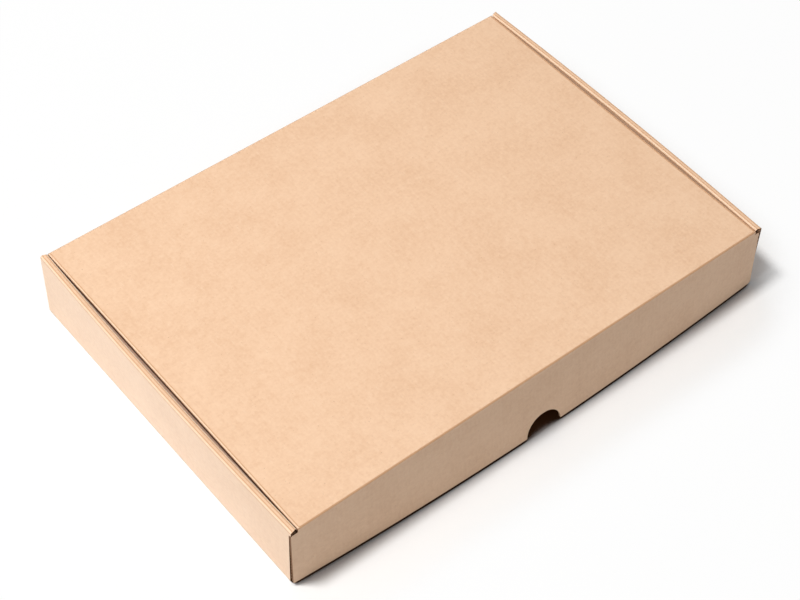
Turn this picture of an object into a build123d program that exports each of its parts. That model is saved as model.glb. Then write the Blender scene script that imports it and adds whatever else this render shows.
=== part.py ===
"""Corrugated kraft pizza box: a roll-sided tray, a hinged lid and a front flap.

All sizes are in millimetres. The origin is on the tray's underside, below the
middle of the lid. +X runs along the long front edge, +Y from front to back and
+Z up.
The box is folded from one sheet of thin corrugated board. It parts into three
pieces where its lid and its front flap turn about their creases.
"""

import os
from math import radians, sin, sqrt, tan

from build123d import *

# Outside of the closed box
LENGTH = 400.0
DEPTH = 276.0
HEIGHT = 56.5

# The board and its creases
BOARD = 1.5
FOLD_RADIUS = 1.6
INNER_FOLD_RADIUS = 0.3

# Slack that the blank leaves between layers, and between pieces that turn
PLY_GAP = 0.25
HINGE_GAP = 0.3
FRONT_GAP = 0.5
LID_SIDE_GAP = 0.5
FLAP_SIDE_GAP = 0.5

# Side walls, rolled over into a hem of three layers
WALL_LEAN = 2.1
CORNER_STRAIGHT = 4.0
HEM_END_TAPER = 1.2
HEM_NOTCH = 5.0
CORNER_FLAP_LENGTH = 70.0
CORNER_FLAP_TAPER = 6.0
TAB_LENGTH = 44.0
TAB_SPACING = 130.0
TAB_RECESS = 0.3
TAB_GAP = 0.3

# Lid and the flaps tucked down inside its short sides
LID_DROP = 0.5
SIDE_FLAP_DEPTH = 34.0
SIDE_FLAP_SETBACK = 4.5
SIDE_FLAP_TAPER = 6.0
SIDE_FLAP_CORNER = 9.0

# Front flap, bowed outwards along its free edge
SHOULDER_DEPTH = 5.0
FLAP_LIFT = 2.0
FLAP_END_LEAN = 1.5
FLAP_BOW = 7.2
FLAP_CORNER = 1.2
NOTCH_RADIUS = 14.5

# Places worked out from the sizes above
HALF_LENGTH = LENGTH / 2
HALF_DEPTH = DEPTH / 2
HEM_INNER = HALF_LENGTH - 3 * BOARD - 2 * PLY_GAP
LID_TOP = HEIGHT - LID_DROP
LID_HALF = HEM_INNER - LID_SIDE_GAP
FLAP_HALF = HALF_LENGTH - BOARD - FLAP_SIDE_GAP
FRONT_WALL_FACE = -HALF_DEPTH + BOARD + FRONT_GAP
WALL_TOP = LID_TOP - BOARD - HINGE_GAP
WALL_END = HALF_LENGTH - BOARD - PLY_GAP
STRAIGHT_END = HALF_DEPTH - CORNER_STRAIGHT
NOTCHED_TOP = HEIGHT - HEM_NOTCH
# The crease line lies where the 45 degree parting meets the rounded fold
CREASE_INSET = FOLD_RADIUS * (1 - sqrt(0.5))
# How far along Y or Z a 45 degree parting face is set back to leave half the gap
PARTING_SETBACK = HINGE_GAP / sqrt(2)
PARTING_REACH = BOARD + 2 * FOLD_RADIUS
REACH = 20.0


def rounded_corner(before, here, after, radius):
    """Start, middle and end of the arc that rounds a corner, or just the corner."""
    if radius == 0:
        return [here]
    back = (before - here).normalized()
    on = (after - here).normalized()
    half_angle = radians(back.get_angle(on) / 2)
    bisector = (back + on).normalized()
    middle = here + bisector * (radius / sin(half_angle) - radius)
    tangent_length = radius / tan(half_angle)
    return [here + back * tangent_length, middle, here + on * tangent_length]


def folded_face(plane, corners):
    """Face of a closed outline in a plane, from (u, v, corner radius) triples."""
    points = [Vector(u, v) for u, v, _ in corners]
    turns = [
        rounded_corner(points[i - 1], points[i], points[(i + 1) % len(points)], corner[2])
        for i, corner in enumerate(corners)
    ]
    edges = [ThreePointArc(*turn) for turn in turns if len(turn) == 3]
    edges += [Line(turns[i - 1][-1], turns[i][0]) for i in range(len(turns))]
    return plane * make_face(edges)


def across_box(y):
    """Plane square to the box's depth, with X to the right and Z up."""
    return Plane(origin=(0, y, 0), x_dir=(1, 0, 0), z_dir=(0, -1, 0))


def along_box(x):
    """Plane square to the box's length, with Y to the right and Z up."""
    return Plane(origin=(x, 0, 0), x_dir=(0, 1, 0), z_dir=(1, 0, 0))


def both_ways(half, plane, corners):
    """Solid of a folded outline drawn out by half to each side of its plane."""
    return extrude(folded_face(plane, corners), half, both=True)


def block(x_range, y_range, z_range):
    """Plain rectangular solid between two corners, used to trim others."""
    spans = [(min(r), max(r)) for r in (x_range, y_range, z_range)]
    size = [high - low for low, high in spans]
    centre = [(high + low) / 2 for low, high in spans]
    return Pos(*centre) * Box(*size)


def lean_at(y):
    """How far the top of a side wall stands outside its foot, at a depth y."""
    if abs(y) >= STRAIGHT_END:
        return 0.0
    return WALL_LEAN * (1 - (y / STRAIGHT_END) ** 2)


def leaning(y, corners):
    """Section corners pushed outwards in proportion to their height."""
    lean = lean_at(y) / HEIGHT
    return [(x + lean * z, z, radius) for x, z, radius in corners]


def bowed_layer(stations, corners):
    """Layer drawn along the depth so that it follows the side wall's bow."""
    faces = [folded_face(across_box(y), leaning(y, corners)) for y in stations]
    return loft(faces)


def roll_corners():
    """Section of the right side wall: up from the base, over the hem and down."""
    inner = HEM_INNER + BOARD
    outer = HALF_LENGTH - BOARD
    foot = BOARD + PLY_GAP
    return [
        (HEM_INNER - REACH, 0, 0),
        (HALF_LENGTH, 0, FOLD_RADIUS),
        (HALF_LENGTH, HEIGHT, FOLD_RADIUS),
        (HEM_INNER, HEIGHT, FOLD_RADIUS),
        (HEM_INNER, foot, 0),
        (inner, foot, 0),
        (inner, HEIGHT - BOARD, INNER_FOLD_RADIUS),
        (outer, HEIGHT - BOARD, INNER_FOLD_RADIUS),
        (outer, BOARD, INNER_FOLD_RADIUS),
        (HEM_INNER - REACH, BOARD, 0),
    ]


def hem_end_cut():
    """Slanted piece cut off the front end of the hem to clear the front flap."""
    slope = HEM_END_TAPER / (WALL_END - HEM_INNER)
    far_x = HEM_INNER - REACH
    outline = Polyline(
        (WALL_END, -DEPTH),
        (WALL_END, FRONT_WALL_FACE),
        (far_x, FRONT_WALL_FACE + slope * (WALL_END - far_x)),
        (far_x, -DEPTH),
        close=True,
    )
    return Pos(0, 0, NOTCHED_TOP) * extrude(make_face(outline), REACH)


def side_wall():
    """Right side wall with its hem, its inner layer and its locking tabs."""
    corners = roll_corners()
    wall = bowed_layer((-STRAIGHT_END, 0, STRAIGHT_END), corners)
    straight = folded_face(across_box(-STRAIGHT_END), corners)
    wall += extrude(straight, -FRONT_WALL_FACE - STRAIGHT_END)
    wall += extrude(Pos(0, 2 * STRAIGHT_END, 0) * straight, -CORNER_STRAIGHT)
    inside = (HEM_INNER - 2 * REACH, HALF_LENGTH - BOARD)
    for end, face in ((-1, -FRONT_WALL_FACE), (1, HALF_DEPTH)):
        past_end = (end * face, end * (HALF_DEPTH + REACH))
        layer_end = (end * (face - BOARD - PLY_GAP), end * (HALF_DEPTH + REACH))
        fold_end = (end * (face - FOLD_RADIUS), end * (HALF_DEPTH + REACH))
        wall -= block(inside, past_end, (-1, HEIGHT - BOARD))
        wall -= block(inside, layer_end, (BOARD + PLY_GAP / 2, HEIGHT - BOARD))
        wall -= block(inside, fold_end, (-1, BOARD + PLY_GAP / 2))
    wall -= hem_end_cut()
    wall -= mirror(hem_end_cut(), about=Plane.XZ)
    for side in (-1, 1):
        y = side * TAB_SPACING / 2
        half = TAB_LENGTH / 2
        slot = block(
            (HEM_INNER - TAB_GAP, HEM_INNER + BOARD + TAB_GAP),
            (y - half - TAB_GAP, y + half + TAB_GAP),
            (-1, BOARD + PLY_GAP / 2),
        )
        tab = block((HEM_INNER, HEM_INNER + BOARD), (y - half, y + half), (TAB_RECESS, 2 * BOARD))
        wall = wall - slot + tab
    return wall


def base_and_end_walls():
    """Base with the front wall and the back wall folded up from its long edges."""
    shell = both_ways(
        WALL_END,
        along_box(0),
        [
            (FRONT_WALL_FACE, WALL_TOP, 0),
            (FRONT_WALL_FACE, 0, FOLD_RADIUS),
            (HALF_DEPTH, 0, FOLD_RADIUS),
            (HALF_DEPTH, LID_TOP, FOLD_RADIUS),
            (HALF_DEPTH - PARTING_REACH / 2, LID_TOP, 0),
            (HALF_DEPTH - PARTING_REACH / 2, LID_TOP - BOARD, 0),
            (HALF_DEPTH - BOARD, LID_TOP - BOARD, 0),
            (HALF_DEPTH - BOARD, BOARD, INNER_FOLD_RADIUS),
            (FRONT_WALL_FACE + BOARD, BOARD, INNER_FOLD_RADIUS),
            (FRONT_WALL_FACE + BOARD, WALL_TOP, 0),
        ],
    )
    shell -= parting_cut(HALF_DEPTH - CREASE_INSET, LID_TOP - CREASE_INSET, 1, 1)
    notch = block((LID_HALF, HALF_LENGTH), (-DEPTH, DEPTH), (NOTCHED_TOP, HEIGHT + REACH))
    # The side walls bring the outer strips of the base, with their slots
    strip = block((HEM_INNER - REACH / 2, HALF_LENGTH), (-STRAIGHT_END, STRAIGHT_END), (-1, HEIGHT))
    for trim in (notch, strip):
        shell -= trim
        shell -= mirror(trim, about=Plane.YZ)
    return shell


def parting_cut(y, z, facing, upward):
    """Wedge beyond a crease's 45 degree parting, set back by half the hinge gap.

    facing is the side of the box that the crease is on, 1 for the back and -1 for
    the front. upward is 1 to cut away what lies above the parting, -1 what lies below.
    """
    line_z = z - upward * PARTING_SETBACK
    wedge = Polyline(
        (y + facing * PARTING_REACH, line_z + PARTING_REACH),
        (y - facing * PARTING_REACH, line_z - PARTING_REACH),
        (y - facing * PARTING_REACH, z + upward * 2 * PARTING_REACH),
        (y + facing * PARTING_REACH, z + upward * 2 * PARTING_REACH),
        close=True,
    )
    return extrude(along_box(0) * make_face(wedge), LENGTH, both=True)


def corner_flap(end_face, inward):
    """Flap folded back from an end wall and trapped inside the right side wall."""
    inner = WALL_END - BOARD
    start = inward * -STRAIGHT_END
    tip = end_face + inward * CORNER_FLAP_LENGTH
    layer = [
        (inner, BOARD + PLY_GAP, 0),
        (WALL_END, BOARD + PLY_GAP, 0),
        (WALL_END, NOTCHED_TOP, 0),
        (inner, NOTCHED_TOP, 0),
    ]
    flap = bowed_layer(sorted((start, (start + tip) / 2, tip)), layer)
    bend = folded_face(
        Plane.XY,
        [
            (inner - REACH, end_face, 0),
            (WALL_END, end_face, FOLD_RADIUS),
            (WALL_END, start, 0),
            (inner, start, 0),
            (inner, end_face + inward * BOARD, INNER_FOLD_RADIUS),
            (inner - REACH, end_face + inward * BOARD, 0),
        ],
    )
    flap += Pos(0, 0, BOARD + PLY_GAP) * extrude(bend, NOTCHED_TOP - BOARD - PLY_GAP)
    run = abs(tip - start)
    slant = Polyline(
        (start, NOTCHED_TOP),
        (tip + inward, NOTCHED_TOP - CORNER_FLAP_TAPER * (run + 1) / run),
        (tip + inward, NOTCHED_TOP + REACH),
        (start, NOTCHED_TOP + REACH),
        close=True,
    )
    return flap - extrude(along_box(WALL_END) * make_face(slant), REACH, both=True)


def tray():
    """Base, front and back walls, corner flaps and the two rolled side walls."""
    right = [side_wall(), corner_flap(FRONT_WALL_FACE, 1), corner_flap(HALF_DEPTH, -1)]
    left = [mirror(piece, about=Plane.YZ) for piece in right]
    body = base_and_end_walls()
    for piece in right + left:
        body += piece
    return body


def lid():
    """Top panel with a tucked flap folded down from each short side."""
    foot = LID_TOP - SIDE_FLAP_DEPTH
    under = LID_TOP - BOARD
    panel = both_ways(
        HALF_DEPTH,
        across_box(0),
        [
            (-LID_HALF, foot - BOARD, 0),
            (-LID_HALF, LID_TOP, FOLD_RADIUS),
            (LID_HALF, LID_TOP, FOLD_RADIUS),
            (LID_HALF, foot - BOARD, 0),
            (LID_HALF - BOARD, foot - BOARD, 0),
            (LID_HALF - BOARD, under, INNER_FOLD_RADIUS),
            (-LID_HALF + BOARD, under, INNER_FOLD_RADIUS),
            (-LID_HALF + BOARD, foot - BOARD, 0),
        ],
    )
    flap_top = HALF_DEPTH - SIDE_FLAP_SETBACK
    flap_low = flap_top - SIDE_FLAP_TAPER
    panel -= both_ways(
        LENGTH,
        along_box(0),
        [
            (-DEPTH, under, 0),
            (-flap_top, under, 0),
            (-flap_low, foot, SIDE_FLAP_CORNER),
            (flap_low, foot, SIDE_FLAP_CORNER),
            (flap_top, under, 0),
            (DEPTH, under, 0),
            (DEPTH, foot - REACH, 0),
            (-DEPTH, foot - REACH, 0),
        ],
    )
    for facing in (-1, 1):
        panel -= rounding_cut(facing * HALF_DEPTH, LID_TOP, facing)
        crease_y = facing * (HALF_DEPTH - CREASE_INSET)
        panel -= parting_cut(crease_y, LID_TOP - CREASE_INSET, facing, -1)
    return panel


def rounding_cut(y, z, facing):
    """What a rounded fold leaves off a square edge that runs along X at (y, z)."""
    centre_y = y - facing * FOLD_RADIUS
    centre_z = z - FOLD_RADIUS
    middle = FOLD_RADIUS * sqrt(0.5)
    arc = ThreePointArc(
        (y, centre_z), (centre_y + facing * middle, centre_z + middle), (centre_y, z)
    )
    corner = Polyline(
        (centre_y, z), (centre_y, z + BOARD), (y + facing * BOARD, z + BOARD),
        (y + facing * BOARD, centre_z), (y, centre_z),
    )
    return extrude(along_box(0) * make_face(arc + corner), LENGTH, both=True)


def flap_section(x):
    """Section of the front flap, whose free edge stands further out mid-way."""
    swing = FLAP_END_LEAN + FLAP_BOW * (1 - (x / FLAP_HALF) ** 2)
    knee = LID_TOP - FOLD_RADIUS - BOARD
    inner = BOARD - HALF_DEPTH
    return folded_face(
        along_box(x),
        [
            (-HALF_DEPTH + PARTING_REACH / 2, LID_TOP, 0),
            (-HALF_DEPTH, LID_TOP, FOLD_RADIUS),
            (-HALF_DEPTH, knee, 0),
            (-HALF_DEPTH - swing, FLAP_LIFT, 0),
            (inner - swing, FLAP_LIFT, 0),
            (inner, knee, 0),
            (inner, LID_TOP - BOARD, 0),
            (-HALF_DEPTH + PARTING_REACH / 2, LID_TOP - BOARD, 0),
        ],
    )


def front_flap():
    """Flap that hangs outside the front wall, with a thumb notch in its edge."""
    sheet = loft([flap_section(x) for x in (-FLAP_HALF, 0, FLAP_HALF)])
    shoulder = LID_TOP - SHOULDER_DEPTH
    outline = folded_face(
        across_box(-HALF_DEPTH),
        [
            (-FLAP_HALF, FLAP_LIFT, FLAP_CORNER),
            (-FLAP_HALF, shoulder, BOARD),
            (-LID_HALF, shoulder, 0),
            (-LID_HALF, HEIGHT + REACH, 0),
            (LID_HALF, HEIGHT + REACH, 0),
            (LID_HALF, shoulder, 0),
            (FLAP_HALF, shoulder, BOARD),
            (FLAP_HALF, FLAP_LIFT, FLAP_CORNER),
        ],
    )
    outline -= across_box(-HALF_DEPTH) * Pos(0, FLAP_LIFT) * Circle(NOTCH_RADIUS)
    sheet &= extrude(outline, 2 * REACH, both=True)
    sheet -= parting_cut(CREASE_INSET - HALF_DEPTH, LID_TOP - CREASE_INSET, -1, 1)
    return sheet


def main():
    """Builds the three pieces and writes one file for each."""
    os.makedirs("parts", exist_ok=True)
    for name, solid in (("tray", tray()), ("lid", lid()), ("front_flap", front_flap())):
        export_step(solid, f"parts/{name}.step")


main()
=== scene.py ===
"""Kraft pizza box of thin fluted board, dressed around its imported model.

Every sheet of the box is built as real corrugated board: two liners with a
waved core between them, folded along its creases. All sizes are in metres.
"""

import logging
from dataclasses import dataclass, field
from enum import Enum
from math import cos, pi, radians, sin, sqrt
from typing import Callable, Optional, Sequence, Union

import bmesh
import bpy
import numpy as np
from mathutils import Matrix, Vector

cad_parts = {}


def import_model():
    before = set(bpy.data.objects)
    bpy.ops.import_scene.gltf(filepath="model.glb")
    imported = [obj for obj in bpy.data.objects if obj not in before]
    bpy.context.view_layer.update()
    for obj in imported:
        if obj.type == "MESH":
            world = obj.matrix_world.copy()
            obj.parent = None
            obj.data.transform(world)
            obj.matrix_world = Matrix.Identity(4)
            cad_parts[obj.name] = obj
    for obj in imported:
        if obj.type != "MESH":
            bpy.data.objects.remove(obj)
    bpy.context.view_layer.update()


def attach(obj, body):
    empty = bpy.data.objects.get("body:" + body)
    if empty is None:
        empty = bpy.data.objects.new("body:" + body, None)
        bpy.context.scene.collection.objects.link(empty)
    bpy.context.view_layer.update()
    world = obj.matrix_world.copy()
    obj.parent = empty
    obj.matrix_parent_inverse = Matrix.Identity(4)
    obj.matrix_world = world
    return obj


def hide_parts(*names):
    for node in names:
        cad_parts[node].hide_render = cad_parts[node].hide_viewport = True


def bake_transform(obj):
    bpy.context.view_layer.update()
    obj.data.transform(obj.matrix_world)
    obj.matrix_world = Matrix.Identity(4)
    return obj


LOG = logging.getLogger("pizza_box")
MM = 0.001
WHITE = (1.0, 1.0, 1.0, 1.0)
SHARP_EDGE = radians(30)
# Closest that two different points or lines may be
TOUCH = 1e-7
# Width of the jump between two lines where a sheet's end steps in or out
STEP = 1e-6
# Decimals of a metre to which two lines are told apart
LINE_DECIMALS = 8

Array = np.ndarray
Number = Union[int, float]
Span = tuple[Array, Array]


# Sizes shared by every sheet of the box


@dataclass(frozen=True)
class Board:
    """Thin fluted board: outside thickness, liners, core and folds.

    Attributes:
        thickness: Outside thickness of the board.
        liner: Thickness of each flat liner.
        core: Thickness of the waved core.
        pitch: Distance between two waves of the core.
        fold: Outer radius of a rounded fold.
        core_depth: How far the core is built behind an edge across the flutes.
        core_steps: Number of lines over that depth.
        core_waves: Number of waves built behind an edge along the flutes.
        crushed: Share of the thickness that a crease takes away.
        crush_width: Reach of that loss on each side of a crease.
        wave_steps: Number of steps in one wave.
        slit_edge: Length over which a fold turns brown towards a slit, as painted shade.
        slit_start: Distance past a fold's middle at which the dark painted shade starts.
        slit_rise: Length over which the dark painted shade comes in.
        slit_depth: Length over which it fades, from twice that distance on.
    """

    thickness: float = 1.5 * MM
    liner: float = 0.22 * MM
    core: float = 0.16 * MM
    pitch: float = 3.3 * MM
    fold: float = 1.6 * MM
    core_depth: float = 9 * MM
    core_steps: int = 4
    core_waves: int = 2
    crushed: float = 0.4
    crush_width: float = 1.1 * MM
    wave_steps: int = 8
    slit_edge: float = 0.35 * MM
    slit_start: float = 0.62 * MM
    slit_rise: float = 0.55 * MM
    slit_depth: float = 1.3 * MM

    @property
    def half(self) -> float:
        """Half of the thickness, from the middle of the board to a face."""
        return self.thickness / 2


BOARD = Board()


@dataclass(frozen=True)
class BoxSizes:
    """Outside of the closed box and the play between its layers.

    Attributes:
        half_length: Half of the length, along X.
        half_depth: Half of the depth, along Y.
        height: Height of the hems.
        lid_drop: How far the lid's top is below the hems.
        lid_gap: Play between the lid and each hem.
        ply_gap: Play between two layers of a side wall.
        front_gap: Play between the front wall and the front flap.
        flap_gap: Play of the front flap between the side walls' outer layers.
        wall_gap: Play between the front wall's top and the lid.
        hem_notch: How far the end walls are lower beside the hems.
    """

    half_length: float = 200 * MM
    half_depth: float = 138 * MM
    height: float = 56.5 * MM
    lid_drop: float = 0.5 * MM
    lid_gap: float = 0.5 * MM
    ply_gap: float = 0.25 * MM
    front_gap: float = 0.5 * MM
    flap_gap: float = 0.2 * MM
    wall_gap: float = 0.3 * MM
    hem_notch: float = 5 * MM

    @property
    def lid_top(self) -> float:
        """Height of the lid's outer face."""
        return self.height - self.lid_drop

    @property
    def wall_end(self) -> float:
        """Distance from the middle to the corner flaps' outer face."""
        return self.half_length - BOARD.thickness - self.ply_gap

    @property
    def hem_inner(self) -> float:
        """Distance from the middle to a hem's inner face, three layers in."""
        return self.half_length - 3 * BOARD.thickness - 2 * self.ply_gap

    @property
    def lid_half(self) -> float:
        """Half of the lid's length."""
        return self.hem_inner - self.lid_gap

    @property
    def flap_half(self) -> float:
        """Half of the front flap's length."""
        return self.half_length - BOARD.thickness - self.flap_gap

    @property
    def front_face(self) -> float:
        """Place on Y of the front wall's outer face."""
        return -self.half_depth + BOARD.thickness + self.front_gap

    @property
    def wall_top(self) -> float:
        """Height of the front wall."""
        return self.lid_top - BOARD.thickness - self.wall_gap

    @property
    def notched_top(self) -> float:
        """Height of the end walls beside the hems."""
        return self.height - self.hem_notch


BOX = BoxSizes()


# Shader expressions


class Channel:
    """A socket or a number that takes part in shader expressions."""

    def __init__(self, maker: "Nodes", socket: object) -> None:
        """Keeps the node maker and the socket that carries the value."""
        self.maker = maker
        self.socket = socket

    def _math(self, operation: str, *values: object, clamp: bool = False) -> "Channel":
        """Adds one Math node.

        Args:
            operation: Name of the Math operation.
            values: Its inputs, channels or numbers.
            clamp: Whether the result is held between 0 and 1.

        Returns:
            The channel of the result.
        """
        settings = {"operation": operation, "use_clamp": clamp}
        return self.maker.add("ShaderNodeMath", settings, dict(enumerate(values)))

    def __add__(self, other: object) -> "Channel":
        """Sum."""
        return self._math("ADD", self, other)

    def __radd__(self, other: object) -> "Channel":
        """Sum with a number on the left."""
        return self._math("ADD", other, self)

    def __sub__(self, other: object) -> "Channel":
        """Difference."""
        return self._math("SUBTRACT", self, other)

    def __rsub__(self, other: object) -> "Channel":
        """Difference from a number on the left."""
        return self._math("SUBTRACT", other, self)

    def __mul__(self, other: object) -> "Channel":
        """Product."""
        return self._math("MULTIPLY", self, other)

    def __rmul__(self, other: object) -> "Channel":
        """Product with a number on the left."""
        return self._math("MULTIPLY", other, self)

    def sine(self) -> "Channel":
        """Sine of the value."""
        return self._math("SINE", self)

    def clamped(self) -> "Channel":
        """The value held between 0 and 1."""
        return self._math("ADD", self, 0.0, clamp=True)

    def ramp(self, low: float, high: float) -> "Channel":
        """Smooth step of the value.

        Args:
            low: Value at which the result is 0.
            high: Value at which the result is 1.

        Returns:
            The channel of the step.
        """
        settings = {"interpolation_type": "SMOOTHSTEP"}
        inputs = {"Value": self, "From Min": low, "From Max": high}
        return self.maker.add("ShaderNodeMapRange", settings, inputs)


class Nodes:
    """Makes the nodes of one material or of the world."""

    def __init__(self, tree: bpy.types.NodeTree) -> None:
        """Keeps the node tree, which is emptied first."""
        self.tree = tree
        tree.nodes.clear()

    def add(
        self,
        kind: str,
        settings: Optional[dict] = None,
        inputs: Optional[dict] = None,
        output: Union[int, str] = 0,
    ) -> Channel:
        """Adds one node.

        Args:
            kind: Blender's type name of the node.
            settings: Its properties, set before its inputs.
            inputs: Values or channels by socket name or number.
            output: The output that the returned channel carries.

        Returns:
            The channel of that output.
        """
        node = self.tree.nodes.new(kind)
        for name, value in (settings or {}).items():
            setattr(node, name, value)
        for name, value in (inputs or {}).items():
            self._feed(node.inputs[name], value)
        return Channel(self, node.outputs[output] if node.outputs else None)

    def _feed(self, socket: bpy.types.NodeSocket, value: object) -> None:
        """Gives a socket a channel or a value.

        Args:
            socket: Input of a node.
            value: Channel that is linked to it, or its own value.
        """
        if isinstance(value, Channel):
            self.tree.links.new(value.socket, socket)
        else:
            socket.default_value = value

    def mix(self, factor: object, low: object, high: object) -> Channel:
        """Mixes two colours.

        Args:
            factor: Share of the second colour, from 0 to 1.
            low: First colour.
            high: Second colour.

        Returns:
            The channel of the mixed colour.
        """
        node = self.tree.nodes.new("ShaderNodeMix")
        node.data_type = "RGBA"
        sockets = [s for s in node.inputs if s.enabled]
        for socket, value in zip(sockets, (factor, low, high)):
            self._feed(socket, value)
        return Channel(self, next(s for s in node.outputs if s.enabled))

    def noise(self, at: Channel, scale: float, detail: float = 3, rough: float = 0.6) -> Channel:
        """Fractal noise from 0 to 1 at a place in the sheet."""
        inputs = {"Vector": at, "Scale": scale, "Detail": detail, "Roughness": rough}
        return self.add("ShaderNodeTexNoise", {"noise_dimensions": "3D"}, inputs)

    def stretched(self, at: Channel, scale: Sequence[float], turn: float = 0.0) -> Channel:
        """Coordinates scaled along each axis after a turn in the sheet's plane."""
        inputs = {"Vector": at, "Rotation": (0, 0, turn), "Scale": tuple(scale)}
        return self.add("ShaderNodeMapping", {"vector_type": "POINT"}, inputs)


def new_material(name: str) -> tuple[bpy.types.Material, Nodes]:
    """Starts a material.

    Args:
        name: Name of the material.

    Returns:
        The material and the maker of its nodes.
    """
    made = bpy.data.materials.new(name)
    made.use_nodes = True
    return made, Nodes(made.node_tree)


def linear(red: Number, green: Number, blue: Number) -> tuple[float, float, float, float]:
    """Turns a display colour into a linear one.

    Args:
        red: Red from 0 to 255.
        green: Green from 0 to 255.
        blue: Blue from 0 to 255.

    Returns:
        The linear colour, with an alpha of 1.
    """
    parts = [c / 255 for c in (red, green, blue)]
    parts = [c / 12.92 if c <= 0.04045 else ((c + 0.055) / 1.055) ** 2.4 for c in parts]
    return (*parts, 1.0)


@dataclass(frozen=True)
class KraftLiner:
    """Uncoated brown liner with pulp clouds, fibres, specks, flute lines and folds.

    The attribute "sheet" holds the place in the board, in metres. "wear_and_painted_light"
    says how much of a crease shows: a little is crushed brown with painted groove shade,
    much is scuffed light with a painted highlight, and below 0 is the painted shade of a
    narrow slit. A range holds the values at which a ramp starts and ends, and a mix holds
    a strength and how much the mottle adds to it.

    Attributes:
        name: Name of the material.
        colour: Main colour.
        dark: Colour of the darker clouds.
        pale_and_highlight: Colour of fibres, and of scuffed folds with a painted highlight.
        speck: Colour of the specks.
        pressed_and_shade: Colour beside a fold, crushed liner with painted groove shade.
        painted_shade_colour: Colour of the painted shade in a slit.
        cloud_scale: Scale of the clouds.
        mottle_scale: Scale of the mottle.
        pulp_scale: Scale of the pulp.
        speck_scale: Scale of the specks.
        long_fibres: Scale on each axis of the fibres along the flutes.
        long_turn: Turn of these fibres.
        long_range: Range of the noise that shows them.
        cross_fibres: Scale on each axis of the fibres across the flutes.
        cross_turn: Turn of these fibres.
        cross_range: Range of the noise that shows them.
        speck_range: Range of the noise that shows the specks.
        uneven: How much clouds, mottle and pulp change the tone.
        flute_tone: How much the flute lines change the tone.
        tone_range: Range of the tone from dark to the main colour.
        fibre_share: Strength of the fibres.
        speck_share: Strength of the specks.
        pressed_shade_range: Range over which crushed brown and painted shade come in.
        pressed_shade_end: Range of wear over which it goes again.
        pressed_shade_mix: Mix of that brown.
        rubbed_highlight_range: Range over which scuffing and painted highlight come in.
        rubbed_highlight_mix: Mix of that light colour.
        painted_slit_range: Range over which a slit's painted shade turns dark.
        painted_slit_share: Strength of a slit's painted shade.
        roughness: Roughness of the liner.
        rough_spread: How much the pulp changes it.
        specular: Strength of the mirrored light.
        sheen: Strength of the fuzz.
        sheen_roughness: Roughness of the fuzz.
        sheen_tint: Tint of the fuzz.
        relief: Height of the relief.
        relief_strength: Strength of the relief.
        relief_shares: Shares of pulp, fibres, flute lines, clouds and mottle in it.
    """

    name: str = "kraft_liner"
    colour: tuple = linear(247, 209, 175)
    dark: tuple = linear(226, 181, 143)
    pale_and_highlight: tuple = linear(252, 226, 198)
    speck: tuple = linear(140, 96, 60)
    pressed_and_shade: tuple = linear(205, 148, 100)
    painted_shade_colour: tuple = linear(88, 50, 26)
    cloud_scale: float = 28
    mottle_scale: float = 230
    pulp_scale: float = 520
    speck_scale: float = 900
    long_fibres: tuple = (1500, 160, 1500)
    long_turn: float = 0.35
    long_range: tuple = (0.6, 0.75)
    cross_fibres: tuple = (150, 1400, 1400)
    cross_turn: float = -0.2
    cross_range: tuple = (0.62, 0.78)
    speck_range: tuple = (0.7, 0.78)
    uneven: float = 0.6
    flute_tone: float = 0.02
    tone_range: tuple = (-0.6, 0.35)
    fibre_share: float = 0.4
    speck_share: float = 0.4
    pressed_shade_range: tuple = (0.06, 0.3)
    pressed_shade_end: tuple = (0.45, 0.75)
    pressed_shade_mix: tuple = (0.45, 0.4)
    rubbed_highlight_range: tuple = (0.62, 0.95)
    rubbed_highlight_mix: tuple = (0.3, 0.6)
    painted_slit_range: tuple = (0.0, 0.8)
    painted_slit_share: float = 0.9
    roughness: float = 0.62
    rough_spread: float = 0.2
    specular: float = 0.5
    sheen: float = 0.85
    sheen_roughness: float = 0.35
    sheen_tint: tuple = (1.0, 0.95, 0.88, 1.0)
    relief: float = 0.18 * MM
    relief_strength: float = 0.6
    relief_shares: tuple = (0.3, 0.2, 0.12, 0.4, 0.9)

    def material(self) -> bpy.types.Material:
        """Builds the material.

        Returns:
            The finished material.
        """
        made, n = new_material(self.name)
        at = n.add("ShaderNodeAttribute", {"attribute_name": "sheet"}, output="Vector")
        wear_and_painted_light = n.add("ShaderNodeAttribute", {"attribute_name": "wear_and_painted_light"}, output="Fac")
        across = n.add("ShaderNodeSeparateXYZ", inputs={"Vector": at}, output="X")

        cloud = n.noise(at, self.cloud_scale, detail=4)
        mottle = n.noise(at, self.mottle_scale)
        pulp = n.noise(at, self.pulp_scale, detail=4)
        along = n.noise(n.stretched(at, self.long_fibres, self.long_turn), 1.0, rough=0.5)
        cross = n.noise(n.stretched(at, self.cross_fibres, self.cross_turn), 1.0, rough=0.5)
        fibres = along.ramp(*self.long_range) + cross.ramp(*self.cross_range)
        specks = n.noise(at, self.speck_scale, detail=2, rough=0.4).ramp(*self.speck_range)
        flutes = (across * (2 * pi / BOARD.pitch)).sine()

        uneven = ((cloud - 0.5) + (mottle - 0.5) + (pulp - 0.5)) * self.uneven
        tone = (uneven + flutes * self.flute_tone).ramp(*self.tone_range)
        base = n.mix(tone, self.dark, self.colour)
        base = n.mix((fibres * self.fibre_share).clamped(), base, self.pale_and_highlight)
        base = n.mix(specks * self.speck_share, base, self.speck)
        # Crushed brown beside folds and scuffed light on them, with painted groove shade and
        # highlight
        pressed_and_shade = wear_and_painted_light.ramp(*self.pressed_shade_range) * (1 - wear_and_painted_light.ramp(*self.pressed_shade_end))
        rubbed_and_highlight = wear_and_painted_light.ramp(*self.rubbed_highlight_range)
        for shown, (least, more), colour in (
            (pressed_and_shade, self.pressed_shade_mix, self.pressed_and_shade),
            (rubbed_and_highlight, self.rubbed_highlight_mix, self.pale_and_highlight),
        ):
            base = n.mix(shown * (least + mottle * more), base, colour)

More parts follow.
